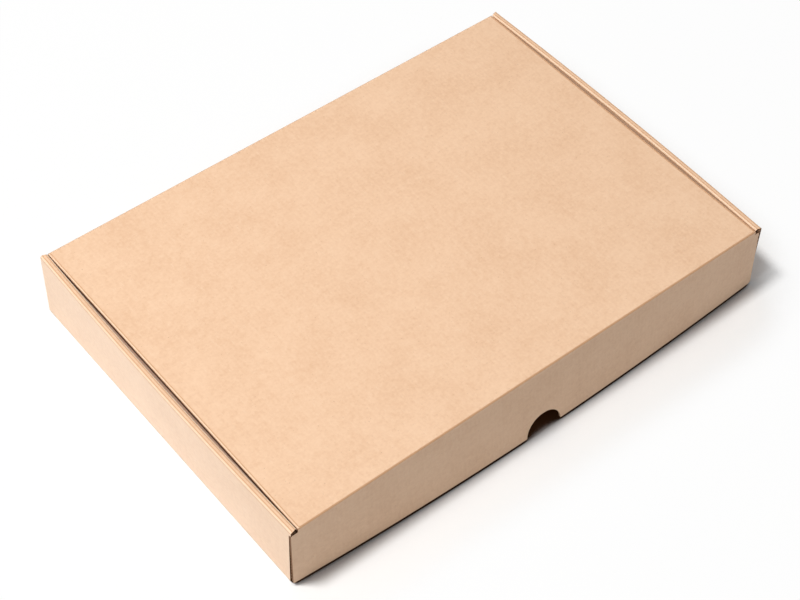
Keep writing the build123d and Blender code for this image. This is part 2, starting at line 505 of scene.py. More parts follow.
        parts = (pulp, fibres, flutes, cloud, mottle)
        height = sum(part * share for part, share in zip(parts, self.relief_shares))
        relief = {"Strength": self.relief_strength, "Distance": self.relief, "Height": height}
        shader = n.add(
            "ShaderNodeBsdfPrincipled",
            inputs={
                "Base Color": base,
                "Roughness": self.roughness + (pulp - 0.5) * self.rough_spread,
                "Specular IOR Level": self.specular,
                "Sheen Weight": self.sheen,
                "Sheen Roughness": self.sheen_roughness,
                "Sheen Tint": self.sheen_tint,
                "Normal": n.add("ShaderNodeBump", inputs=relief),
            },
        )
        # Painted shade in a slit: a plain dark diffuse, mixed in where the crease value is below
        # 0
        shade = n.add("ShaderNodeBsdfDiffuse", inputs={"Color": self.painted_shade_colour})
        painted_slit_mix = (0.0 - wear_and_painted_light).ramp(*self.painted_slit_range) * self.painted_slit_share
        surface = n.add("ShaderNodeMixShader", inputs={0: painted_slit_mix, 1: shader, 2: shade})
        n.add("ShaderNodeOutputMaterial", inputs={"Surface": surface})
        return made


@dataclass(frozen=True)
class RawBoard:
    """Bare pulp where the board is cut, or its waved core shows.

    Attributes:
        name: Name of the material.
        colour: Main colour.
        dark: Colour of the darker pulp.
        pulp_scale: Scale of the pulp.
        torn_scale: Scale on each axis of the torn fibres.
        tone_range: Range of the tone from dark to the main colour.
        roughness: Roughness of the pulp.
        rough_spread: How much the noise changes it.
        specular: Strength of the mirrored light.
        relief: Height of the relief.
        relief_strength: Strength of the relief.
    """

    name: str
    colour: tuple
    dark: tuple
    pulp_scale: float = 700
    torn_scale: tuple = (900, 250, 5000)
    tone_range: tuple = (0.2, 0.8)
    roughness: float = 0.85
    rough_spread: float = 0.1
    specular: float = 0.2
    relief: float = 0.1 * MM
    relief_strength: float = 0.5

    def material(self) -> bpy.types.Material:
        """Builds the material.

        Returns:
            The finished material.
        """
        made, n = new_material(self.name)
        at = n.add("ShaderNodeAttribute", {"attribute_name": "sheet"}, output="Vector")
        pulp = n.noise(at, self.pulp_scale, detail=4, rough=0.65)
        torn = n.noise(n.stretched(at, self.torn_scale), 1.0)
        tone = (pulp + torn - 0.5).ramp(*self.tone_range)
        relief = {
            "Strength": self.relief_strength, "Distance": self.relief, "Height": pulp + torn
        }
        shader = n.add(
            "ShaderNodeBsdfPrincipled",
            inputs={
                "Base Color": n.mix(tone, self.dark, self.colour),
                "Roughness": self.roughness + (pulp - 0.5) * self.rough_spread,
                "Specular IOR Level": self.specular,
                "Normal": n.add("ShaderNodeBump", inputs=relief),
            },
        )
        n.add("ShaderNodeOutputMaterial", inputs={"Surface": shader})
        return made


CUT_EDGE = RawBoard("cut_edge", linear(150, 104, 66), linear(106, 70, 42))
FLUTED_CORE = RawBoard("fluted_core", linear(146, 100, 64), linear(100, 66, 38))


class Finish(Enum):
    """What a face of the board shows."""

    LINER = 0
    CUT = 1
    CORE = 2


# Folded sheets of fluted board

# How far the painted shade of a slit lowers the crease value at its brown rim, then in its depth
SLIT_SHADE_BROWN = 0.6
SLIT_SHADE_DARK = 1.4
# Shift of the pattern between the two faces of a layer
LAYER_SHIFT = 0.37

Place = Callable[[Array, Array, Array], Array]
Ends = Callable[[Array], Span]
Measure = Callable[[Array, Array], Array]


@dataclass
class Fold:
    """Outer line of a folded board in its plane, and how it turns.

    Attributes:
        corners: Corners of the outer face, in order.
        side: 1 where the outer face is to the left of the line's course, or -1.
        steps: Number of steps that each rounded fold is made of.
        beside: Distances from a rounded fold of the extra lines on its flat sides.
        radius: Outer radius of the folds.
        marks: Distances along the line that need a line of points.
        folds: Distances of the middles of the rounded folds.
        bends: Distances of the start and end of each rounded fold.
    """

    corners: Sequence[tuple[float, float]]
    side: int
    steps: int = 8
    beside: tuple = (0.3 * MM, 0.8 * MM, 1.6 * MM, 3 * MM)
    radius: float = BOARD.fold
    marks: list[float] = field(init=False)
    folds: list[float] = field(init=False)
    bends: list[tuple[float, float]] = field(init=False)

    def __post_init__(self) -> None:
        """Works out the points, outward normals and running length."""
        points = [np.array(c, float) for c in self.corners]
        courses = [self._unit(b - a) for a, b in zip(points, points[1:])]
        line = [points[0]]
        normals = [self._normal(courses[0])]
        bends = []
        for before, here, after in zip(courses, points[1:-1], courses[1:]):
            reach = self.radius * np.tan(np.arccos(np.clip(before @ after, -1, 1)) / 2)
            centre = here - before * reach - self._normal(before) * self.radius
            bends.append((len(line), len(line) + self.steps))
            for step in range(self.steps + 1):
                part = step / self.steps
                out = self._turned(self._normal(before), self._normal(after), part)
                line.append(centre + out * self.radius)
                normals.append(out)
        line.append(points[-1])
        normals.append(self._normal(courses[-1]))
        self.line = np.array(line)
        self.normals = np.array(normals)
        lengths = np.linalg.norm(np.diff(self.line, axis=0), axis=1)
        self.length = np.concatenate([[0.0], np.cumsum(lengths)])
        self.bends = [(self.length[a], self.length[b]) for a, b in bends]
        self.folds = [(first + last) / 2 for first, last in self.bends]
        beside = [mark for first, last in self.bends for reach in self.beside
                  for mark in (first - reach, last + reach)]
        self.marks = sorted([*self.length, *beside])

    @staticmethod
    def _unit(vector: Array) -> Array:
        """Vector of length 1."""
        return vector / np.linalg.norm(vector)

    def _normal(self, course: Array) -> Array:
        """Outward normal of a straight course."""
        return self.side * np.array([-course[1], course[0]])

    @staticmethod
    def _turned(first: Array, last: Array, part: float) -> Array:
        """Normal part of the way round a fold."""
        angle = np.arccos(np.clip(first @ last, -1, 1))
        return (sin((1 - part) * angle) * first + sin(part * angle) * last) / sin(angle)

    def at(self, run: Array) -> tuple[Array, Array]:
        """Outer points and normals.

        Args:
            run: Distances along the outer line.

        Returns:
            The points and the outward normals, in the plane of the line.
        """
        point = [np.interp(run, self.length, self.line[:, k]) for k in (0, 1)]
        normal = [np.interp(run, self.length, self.normals[:, k]) for k in (0, 1)]
        return np.stack(point, -1), np.stack(normal, -1)

    def under(self, run: Array, depth: Array) -> Array:
        """Points at a depth under the outer face, in the plane of the line."""
        point, normal = self.at(run)
        return point - depth[..., None] * normal

    def crush(self, run: Array) -> Array:
        """Crushes the board along each crease.

        Args:
            run: Distances along the outer line.

        Returns:
            The share of the board's thickness that is left.
        """
        left = np.ones_like(run)
        for middle in self.folds:
            left -= BOARD.crushed * np.exp(-(((run - middle) / BOARD.crush_width) ** 2))
        return left

    def wear_and_painted_light(self, run: Array) -> Array:
        """How much each rounded fold shows as wear and painted light, from 0 to 1."""
        return (1 - self.crush(run)) / BOARD.crushed

    def slit(self, run: Array, bend: int, towards: int) -> Array:
        """Painted shade on the side of a fold that faces a narrow slit: brown, then dark.

        Args:
            run: Distances along the outer line.
            bend: Number of the rounded fold.
            towards: 1 where the slit is past the fold, or -1 where it is before it.

        Returns:
            The painted shade, from 0 to 2.
        """
        first, last = self.bends[bend]
        into = towards * (run - (first + last) / 2)
        brown = SLIT_SHADE_BROWN * np.clip(into / BOARD.slit_edge, 0, 1)
        dark = SLIT_SHADE_DARK * np.clip((into - BOARD.slit_start) / BOARD.slit_rise, 0, 1)
        fade = np.clip(1 - (into - 2 * BOARD.slit_depth) / BOARD.slit_depth, 0, 1)
        return (brown + dark) * fade


class BoardPile:
    """Collects the faces of one node's sheets and makes them one piece."""

    def __init__(self) -> None:
        """Starts with nothing."""
        self.points: list[Array] = []
        self.sheet: list[Array] = []
        self.wear_and_painted_light: list[Array] = []
        self.faces: list[tuple[int, ...]] = []
        self.kinds: list[int] = []
        self.count = 0

    def slab(
        self,
        across: Array,
        rows: Array,
        place: Place,
        depths: tuple[Array, Array],
        keep: Array,
        face: Finish,
        origin: float,
        wear_and_painted_light: Array,
    ) -> None:
        """Adds a closed layer between two depths under the outer face.

        Args:
            across: Distances across the flutes, one for each line of points.
            rows: Distances along the flutes, one row of them for each line.
            place: Gives the point at a distance across, along and in depth.
            depths: Depth of the layer's outer and inner face at each point.
            keep: Cells that are there, where a hole leaves some out.
            face: Finish of the layer's two faces.
            origin: Where the layer's pattern starts across the sheet.
            wear_and_painted_light: Crease wear and painted light at each point, below 0 in a
                slit.
        """
        lines = np.repeat(across[:, None], rows.shape[1], 1)
        keep = keep & ((np.diff(rows, axis=1)[:-1] + np.diff(rows, axis=1)[1:]) > TOUCH)
        for layer, depth in enumerate(depths):
            spots = place(lines, rows, depth)
            self.points.append(spots.reshape(-1, 3))
            height = np.full(lines.shape, origin + layer * LAYER_SHIFT)
            self.sheet.append(np.stack([lines, rows, height], -1).reshape(-1, 3))
            self.wear_and_painted_light.append(wear_and_painted_light.ravel())
        total = lines.size
        index = self.count + np.arange(total).reshape(lines.shape)
        outer = (index[:-1, :-1], index[1:, :-1], index[1:, 1:], index[:-1, 1:])
        for i, j in zip(*np.nonzero(keep)):
            a, b, c, d = (int(corner[i, j]) for corner in outer)
            self._face((a, b, c, d), face)
            self._face((a + total, d + total, c + total, b + total), face)
            edges = (
                (a, b, (i, j - 1)), (b, c, (i + 1, j)), (c, d, (i, j + 1)), (d, a, (i - 1, j))
            )
            for p, q, (m, k) in edges:
                inside = 0 <= m < keep.shape[0] and 0 <= k < keep.shape[1]
                if not (inside and keep[m, k]):
                    rim = Finish.CORE if face is Finish.CORE else Finish.CUT
                    self._face((p, p + total, q + total, q), rim)
        self.count += 2 * total

    def _face(self, corners: tuple[int, ...], face: Finish) -> None:
        """Adds one face."""
        self.faces.append(corners)
        self.kinds.append(face.value)

    def build(self, name: str, finishes: Sequence[bpy.types.Material]) -> bpy.types.Object:
        """Makes the piece.

        Args:
            name: Name of the piece.
            finishes: Materials in the order of Finish.

        Returns:
            The piece, with clean closed faces.
        """
        mesh = bpy.data.meshes.new(name)
        mesh.from_pydata(np.concatenate(self.points), [], self.faces)
        where = mesh.attributes.new("sheet", "FLOAT_VECTOR", "POINT")
        where.data.foreach_set("vector", np.concatenate(self.sheet).astype(np.float32).ravel())
        crease = mesh.attributes.new("wear_and_painted_light", "FLOAT", "POINT")
        crease.data.foreach_set("value", np.concatenate(self.wear_and_painted_light).astype(np.float32))
        for finish in finishes:
            mesh.materials.append(finish)
        mesh.polygons.foreach_set("material_index", self.kinds)
        work = bmesh.new()
        work.from_mesh(mesh)
        bmesh.ops.dissolve_degenerate(work, dist=TOUCH, edges=work.edges)
        loose = [v for v in work.verts if not v.link_faces]
        bmesh.ops.delete(work, geom=loose, context="VERTS")
        bmesh.ops.recalc_face_normals(work, faces=work.faces)
        work.to_mesh(mesh)
        work.free()
        mesh.polygons.foreach_set("use_smooth", [True] * len(mesh.polygons))
        mesh.set_sharp_from_angle(angle=SHARP_EDGE)
        piece = bpy.data.objects.new(name, mesh)
        bpy.context.scene.collection.objects.link(piece)
        return piece


@dataclass
class Sheet:
    """One folded sheet of board.

    Attributes:
        place: Gives the point at a distance across, along and in depth.
        across: Lines across the flutes where the liners have points.
        along: Lines along the flutes where the liners have points.
        ends: Gives where the sheet starts and stops along each flute.
        left: Share of the thickness that is left at a place.
        wear_and_painted_light: Crease wear and painted light, below 0 in a slit's painted shade.
        hole: Says which places are cut away, or None.
        origin: Where the sheet's pattern starts.
    """

    place: Place
    across: Array
    along: Array
    ends: Ends
    left: Measure
    wear_and_painted_light: Measure
    hole: Optional[Measure] = None
    origin: float = 0.0

    def _rows(self, across: Array) -> Array:
        """Rows of distances along the flutes, held between the sheet's ends."""
        low, high = self.ends(across)
        return np.clip(self.along[None, :], low[:, None], high[:, None])

    def _keep(self, across: Array, rows: Array) -> Array:
        """Finds the cells that no hole cuts away.

        Args:
            across: Distances across the flutes, one for each line of points.
            rows: Distances along the flutes, one row of them for each line.

        Returns:
            True for each cell that is there.
        """
        shape = (len(across) - 1, rows.shape[1] - 1)
        if self.hole is None:
            return np.ones(shape, bool)
        middle = (across[:-1] + across[1:])[:, None] / 2
        centre = (rows[:-1, :-1] + rows[1:, :-1] + rows[1:, 1:] + rows[:-1, 1:]) / 4
        return ~self.hole(np.broadcast_to(middle, shape), centre)

    def liners(self, pile: BoardPile) -> None:
        """Adds the outer and the inner liner.

        Args:
            pile: Where the liners go.
        """
        rows = self._rows(self.across)
        lines = np.repeat(self.across[:, None], rows.shape[1], 1)
        full = BOARD.thickness * self.left(lines, rows)
        keep = self._keep(self.across, rows)
        wear_and_painted_light = self.wear_and_painted_light(lines, rows)
        zero = np.zeros_like(full)
        for depths in ((zero, zero + BOARD.liner), (full - BOARD.liner, full)):
            pile.slab(
                self.across, rows, self.place, depths, keep, Finish.LINER, self.origin, wear_and_painted_light
            )

    def core(self, pile: BoardPile, span: tuple[float, float], rows: Callable) -> None:
        """Adds a stretch of the waved core.

        Args:
            pile: Where the core goes.
            span: First and last distance across the flutes.
            rows: Gives the rows along the flutes for the lines across.
        """
        count = max(2, int(round((span[1] - span[0]) / BOARD.pitch * BOARD.wave_steps)))
        across = np.linspace(*span, count + 1)
        along = rows(across)
        lines = np.repeat(across[:, None], along.shape[1], 1)
        full = BOARD.thickness * self.left(lines, along)
        wave = (full / 2 - BOARD.liner - BOARD.core / 2) * np.cos(2 * pi * lines / BOARD.pitch)
        keep = self._keep(across, along)
        depths = (full / 2 + wave - BOARD.core / 2, full / 2 + wave + BOARD.core / 2)
        pile.slab(
            across, along, self.place, depths, keep, Finish.CORE, self.origin, 0 * full
        )

    def end_core(self, pile: BoardPile, span: tuple[float, float], end: int) -> None:
        """Adds the core behind an edge that cuts across the flutes.

        Args:
            pile: Where the core goes.
            span: First and last distance across the flutes.
            end: 0 for the sheet's start along the flutes, 1 for its end.
        """

        def rows(across: Array) -> Array:
            """Rows from the edge inwards."""
            low, high = self.ends(across)
            far = np.minimum(BOARD.core_depth, high - low)
            steps = np.linspace(0, 1, BOARD.core_steps)[None, :]
            if end:
                return high[:, None] - far[:, None] * (1 - steps)
            return low[:, None] + far[:, None] * steps

        self.core(pile, span, rows)

    def side_cores(self, pile: BoardPile, low: float, high: float) -> None:
        """Adds the core behind the two edges that run along the flutes.

        Args:
            pile: Where the core goes.
            low: Distance of the first edge across the flutes.
            high: Distance of the last edge.
        """
        reach = BOARD.core_waves * BOARD.pitch
        for span in ((low, low + reach), (high - reach, high)):
            self.core(pile, span, self._rows)


def lines_between(*marks: float, step: float = 14 * MM) -> Array:
    """Sorts marks and fills the gaps between them.

    Args:
        marks: Distances that have a line.
        step: Furthest that two lines may be apart.

    Returns:
        The lines in order.
    """
    found = sorted({round(mark, LINE_DECIMALS) for mark in marks})
    lines = []
    for low, high in zip(found, found[1:]):
        count = max(1, int(np.ceil((high - low) / step)))
        lines.extend(np.linspace(low, high, count + 1)[:-1])
    return np.array(lines + [found[-1]])


def around(centre: float, reach: float, count: int) -> list[float]:
    """Lines on both sides of a round corner, closer together towards its rim."""
    turns = np.linspace(0, pi / 2, count)
    return [centre + sign * reach * sin(turn) for turn in turns for sign in (-1, 1)]


@dataclass(frozen=True)
class Crease:
    """Crease at an end of the lid, and the strip that bends there.

    Attributes:
        half_turn: Half of the turn that the strip takes up at rest.
        band: Half of the width in which it bends.
        steps: Number of lines over that width.
        shown: How much the crease shows, as crushed brown with painted shade.
        shown_width: Reach of that on each side.
    """

    half_turn: float = radians(4)
    band: float = 0.04 * MM
    steps: int = 12
    shown: float = 0.45
    shown_width: float = 0.7 * MM

    @property
    def flat(self) -> float:
        """Distance from the lid's middle to where its end starts to turn."""
        return BOX.half_depth - BOARD.fold

    @property
    def reach(self) -> float:
        """Distance along the outer face from the crease's middle to a sheet."""
        return self.half_turn * BOARD.fold

    @property
    def quarter(self) -> float:
        """Distance along the outer face from a fold's start to its middle."""
        return BOARD.fold * pi / 4


CREASE = Crease()


def end_fold(along: Array) -> tuple[Array, Array, Array]:
    """Turn at the front and back edge of the lid, half of each rounded fold.

    Args:
        along: Distances from the lid's middle along its outer face.

    Returns:
        The depth position, the drop of the outer face, and the turn in radians.
    """
    past = np.maximum(np.abs(along) - CREASE.flat, 0)
    turn = past / BOARD.fold
    y = np.minimum(np.abs(along), CREASE.flat) + BOARD.fold * np.sin(turn)
    drop = BOARD.fold * (1 - np.cos(turn))
    return np.sign(along) * y, drop, np.sign(along) * turn


def crease_line(distance: Array) -> Array:
    """Brown wear and painted shade of the lid's end crease, at a distance from it."""
    return CREASE.shown * np.exp(-((distance / CREASE.shown_width) ** 2))


def crushed_at(distance: Array) -> Array:
    """Share of the thickness that is left at a distance from one crease."""
    return 1 - BOARD.crushed * np.exp(-((distance / BOARD.crush_width) ** 2))


@dataclass
class Lid:
    """Top panel with a tucked flap at each short side.

    Attributes:
        drop: Height of the tucked flaps.
        setback: How far they stay behind the lid's ends.
        taper: How much further they stay behind at their foot.
        corner: Radius of their lower corners.
        raw_turn: Turn of the side folds up to which the lid's end is creased.
        right_highlight_cap: Most the right fold shows: brown, with no painted highlight.
        side_fold: Outer radius of the side folds.
        corner_lines: Number of lines over a lower corner.
        fold_lines: Distances of the extra lines before the rounded ends.
        turn_steps: Number of lines over each rounded end.
        core_lap: Share of a side fold's radius that the flaps' core goes into it.
    """

    drop: float = 34 * MM
    setback: float = 4.5 * MM
    taper: float = 6 * MM
    corner: float = 9 * MM
    raw_turn: float = radians(82)
    right_highlight_cap: float = 0.4
    side_fold: float = 1.0 * MM
    corner_lines: int = 8
    fold_lines: tuple = (2.5 * MM, 1.2 * MM, 0.4 * MM)
    turn_steps: int = 6
    core_lap: float = 0.4

    def _fold(self) -> Fold:
        """Outer line across the lid, from one tucked flap's foot to the other's."""
        half, top = BOX.lid_half, BOX.lid_top
        foot = top - self.drop
        corners = [(-half, foot), (-half, top), (half, top), (half, foot)]
        return Fold(corners, side=1, radius=self.side_fold)

    def build(self, finishes: Sequence[bpy.types.Material]) -> bpy.types.Object:
        """Makes the lid.

        Args:
            finishes: Materials in the order of Finish.

        Returns:
            The lid's piece.
        """
        fold = self._fold()
        total = fold.length[-1]
        edge_low = fold.bends[0][1] - self.raw_turn * fold.radius
        panel = (edge_low, total - edge_low)
        side_top = BOX.half_depth - self.setback
        side_low = side_top - self.taper
        middle = CREASE.flat + CREASE.quarter
        crease_end = middle - CREASE.reach

        def place(across: Array, along: Array, depth: Array) -> Array:
            """Point folded down at the sides and rounded over at the ends."""
            point, normal = fold.at(across)
            y, drop, turn = end_fold(along)
            lean = np.cos(turn)
            x = point[..., 0] - depth * normal[..., 0]
            z = point[..., 1] - drop - depth * normal[..., 1] * lean
            return np.stack([x, y - depth * np.sin(turn) * np.abs(normal[..., 1]), z], -1)

        def ends(across: Array) -> Span:
            """Ends at the creases, and set back on the tucked flaps."""
            from_foot = np.minimum(across, total - across)
            high = side_low + self.taper / self.drop * from_foot
            inner = high - self.corner
            round_off = np.sqrt(
                np.clip(self.corner**2 - (self.corner - from_foot) ** 2, 0, None)
            )
            high = np.where(from_foot < self.corner, inner + round_off, high)
            high = np.minimum(high, side_top)
            on_panel = (across >= panel[0] - TOUCH) & (across <= panel[1] + TOUCH)
            high = np.where(on_panel, crease_end, high)
            return -high, high

        def left(across: Array, along: Array) -> Array:
            """Thickness left along the side folds and the end creases."""
            return fold.crush(across) * crushed_at(np.abs(along) - middle)

        turns = np.linspace(0, pi / 2, self.corner_lines)
        corners = [self.corner * (1 - cos(turn)) for turn in turns]
        marks = list(fold.marks) + corners + [total - mark for mark in corners]
        marks += [panel[0] - STEP, panel[0], panel[1], panel[1] + STEP]
        across = lines_between(*marks)
        turn_lines = [CREASE.flat - reach for reach in self.fold_lines]
        turn_lines += list(np.linspace(CREASE.flat, crease_end, self.turn_steps))
        along = lines_between(*turn_lines, *[-t for t in turn_lines], -side_top, side_top)

        def wear_and_painted_light(across: Array, along: Array) -> Array:
            """Wear and painted light of folds and creases, less the side slits' painted shade.
            """
            # Painted shade in the side slits: brown at the rim, then dark
            shade = fold.slit(across, 0, -1) + fold.slit(across, 1, 1)
            # The right fold faces away from the key light: capped so its painted highlight stays
            # off
            most = np.where(across > total / 2, self.right_highlight_cap, 1.0)
            edges = np.minimum(fold.wear_and_painted_light(across), most)
            return edges + crease_line(np.abs(along) - middle) - shade

        sheet = Sheet(place, across, along, ends, left, wear_and_painted_light)
        pile = BoardPile()
        sheet.liners(pile)
        edge = fold.bends[0][0] + self.core_lap * fold.radius
        for span in ((0.0, edge), (total - edge, total)):
            for end in (0, 1):
                sheet.end_core(pile, span, end)
        sheet.side_cores(pile, 0.0, total)
        return pile.build("lid_board", finishes)


@dataclass
class FrontFlap:
    """Flap that hangs outside the front wall, with its thumb notch.

    Attributes:
        lift: Height of the free edge above the floor.
        end_lean: How far the free edge stands out at the flap's ends.
        bow: How much further it stands out at the middle.
        sprung: How much further it stands out at the right end.
        left_extra: How much longer the flap is at its left end.
        shoulder: Height of the flap's ends beside the crease.
        notch: Radius of the thumb notch.
        corner: Radius of the lower corners.
        shoulder_corner: Radius of the upper corners.
        bend: Length over which the flap takes up its lean.
        notch_lines: Number of lines over half of the notch.
        corner_lines: Number of lines over a corner.
        turn_steps: Number of lines over the rounded fold.
        knee_lines: Distances of the extra lines about the knee.
        line_gaps: Furthest that lines across and along may be apart.
        pattern: Where the flap's pattern starts.
    """

    lift: float = 2.5 * MM
    end_lean: float = 1.5 * MM
    bow: float = 6.6 * MM
    sprung: float = 1 * MM
    left_extra: float = 1.7 * MM
    shoulder: float = 52.7 * MM
    notch: float = 14.5 * MM
    corner: float = 1.2 * MM
    shoulder_corner: float = 1 * MM
    bend: float = 2 * MM
    notch_lines: int = 14
    corner_lines: int = 7
    turn_steps: int = 6
    knee_lines: tuple = (-0.8 * MM, -0.4 * MM, 0, 0.5 * MM, 1 * MM, 1.5 * MM, 2 * MM)
    line_gaps: tuple = (6 * MM, 9 * MM)
    pattern: float = 3.1

    @property
    def knee(self) -> float:
        """Height at which the flap starts to lean outwards."""
        return BOX.lid_top - BOARD.fold - BOARD.thickness

    @property
    def straight(self) -> float:
        """Distance from the crease's middle to the knee, along the outer face."""
        return CREASE.quarter + BOX.lid_top - BOARD.fold - self.knee

    def _slant(self, across: Array) -> Array:
        """Leans the flap out, most at its middle and a little more at its right end.

        Args:
            across: Distances across the flap from its middle.

        Returns:
            The angle of the leaning part.
        """
        share = across / BOX.flap_half
        swing = self.end_lean + self.bow * (1 - share**2)
        swing = swing + self.sprung * np.clip(share, 0, None) ** 3
        return np.arctan2(swing, self.knee - self.lift)

    def _run_to(self, across: Union[float, Array], height: Union[float, Array]) -> Array:
        """Distance from the crease down to a height on the leaning part."""
        return self.straight + (self.knee - height) / np.cos(self._slant(across))

    def _place(self, across: Array, along: Array, depth: Array) -> Array:
        """Hangs a point of the flap from its crease.

        Args:
            across: Distances across the flap from its middle.
            along: Distances from the crease's middle along the outer face.
            depth: Depths under the outer face.

        Returns:
            The points.
        """
        turn = np.clip(along / BOARD.fold + pi / 4, 0, pi / 2)
        y = -(BOX.half_depth - BOARD.fold) - BOARD.fold * np.sin(turn)
        z = BOX.lid_top - BOARD.fold + BOARD.fold * np.cos(turn)
        z = z - np.clip(along - CREASE.quarter, 0, self.straight - CREASE.quarter)
        slant = self._slant(across)
        past = np.clip(along - self.straight, 0, None)
        bend = pi / 2 + slant * np.clip(past / self.bend, 0, 1)
        facing = np.where(past > 0, bend, turn)
        y = y - past * np.sin(slant) + depth * np.sin(facing)
        z = z - past * np.cos(slant) - depth * np.cos(facing)
        return np.stack([across + 0 * y, y, z], -1)

    def _ends(self, across: Array) -> Span:
        """Gives the flap its shoulders, rounded corners and thumb notch.

        Args:
            across: Distances across the flap from its middle.

        Returns:
            Where the flap starts and stops along each flute.
        """
        on_left = across < -BOX.lid_half
        wide = np.abs(across) - np.where(on_left, self.left_extra, 0)
        low = np.full_like(across, CREASE.reach)
        inner = BOX.flap_half - self.shoulder_corner
        past = np.clip(wide - inner, 0, self.shoulder_corner)
        fall = self.shoulder_corner - np.sqrt(self.shoulder_corner**2 - past**2)
        on_shoulder = self._run_to(across, self.shoulder - fall)
        low = np.where(np.abs(across) > BOX.lid_half + TOUCH, on_shoulder, low)
        past = np.clip(wide - (BOX.flap_half - self.corner), 0, self.corner)
        rise = self.corner - np.sqrt(self.corner**2 - past**2)
        arch = np.sqrt(np.clip(self.notch**2 - across**2, 0, None))
        high = self._run_to(across, self.lift + rise + arch)
        return low, high

    def build(self, finishes: Sequence[bpy.types.Material]) -> bpy.types.Object:
        """Makes the front flap.

        Args:
            finishes: Materials in the order of Finish.

        Returns:
            The flap's piece.
        """
        half = BOX.flap_half
        marks = [-BOX.lid_half - STEP, -BOX.lid_half, BOX.lid_half, BOX.lid_half + STEP]
        marks += around(0, self.notch, self.notch_lines)
        turns = np.linspace(0, pi / 2, self.corner_lines)
        for side, end in ((-1, half + self.left_extra), (1, half)):
            for reach in (self.corner, self.shoulder_corner):
                marks += [side * (end - reach + reach * sin(turn)) for turn in turns]
        across = lines_between(*marks, step=self.line_gaps[0])
        marks = list(np.linspace(CREASE.reach, CREASE.quarter, self.turn_steps))
        marks += [self.straight + reach for reach in self.knee_lines]
        shoulder, foot = (float(self._run_to(0.0, z)) for z in (self.shoulder, self.lift))
        along = lines_between(*marks, shoulder, foot + 1 * MM, step=self.line_gaps[1])
        sheet = Sheet(
            self._place,
            across,
            along,
            self._ends,
            lambda _, along: crushed_at(along),
            lambda _, along: crease_line(along),
            origin=self.pattern,
        )
        pile = BoardPile()
        sheet.liners(pile)
        left = -half - self.left_extra
        sheet.end_core(pile, (left, half), 1)
        sheet.side_cores(pile, left, half)
        return pile.build("front_flap_board", finishes)


